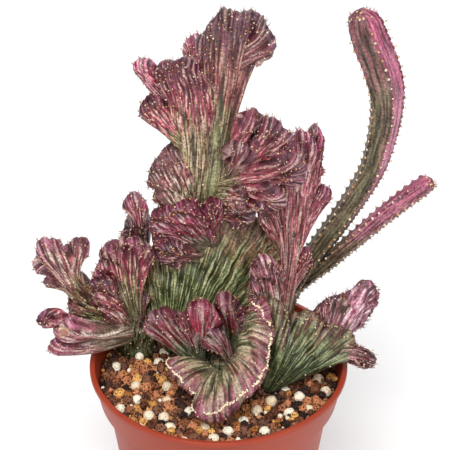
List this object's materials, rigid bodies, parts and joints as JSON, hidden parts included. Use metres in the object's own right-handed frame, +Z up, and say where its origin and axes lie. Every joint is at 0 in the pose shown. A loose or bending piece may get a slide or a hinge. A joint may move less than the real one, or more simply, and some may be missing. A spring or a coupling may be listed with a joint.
{
  "type": "potted crested cereus spegazzinii",
  "caption": "Crested columnar cactus with ribbed fan crests, curled folds and upright columns, rooted in gritty substrate in a tapered nursery pot; decorative plant.",
  "frame": {"origin": "centre of the pot's flat bottom, on the surface it stands on", "axes": "+Z up along the pot's axis and the plant's height; +X to the right seen from the front; the front, where the curled crest is, faces -Y"},
  "size_m": [0.1814, 0.12, 0.282],
  "materials": {
    "pot_plastic": "satin",
    "substrate": "matte",
    "front_flesh": "matte",
    "green_flesh": "matte",
    "centre_flesh": "matte",
    "pink_flesh": "matte",
    "column_flesh": "matte"
  },
  "bodies": {
    "root": {"pot": "pot_plastic", "substrate": "substrate", "crest_front": "front_flesh", "crest_front_right": "green_flesh", "crest_centre": "centre_flesh", "crest_left": "pink_flesh", "branch_right": "pink_flesh", "column_stems": "column_flesh"}
  },
  "joints": []
}
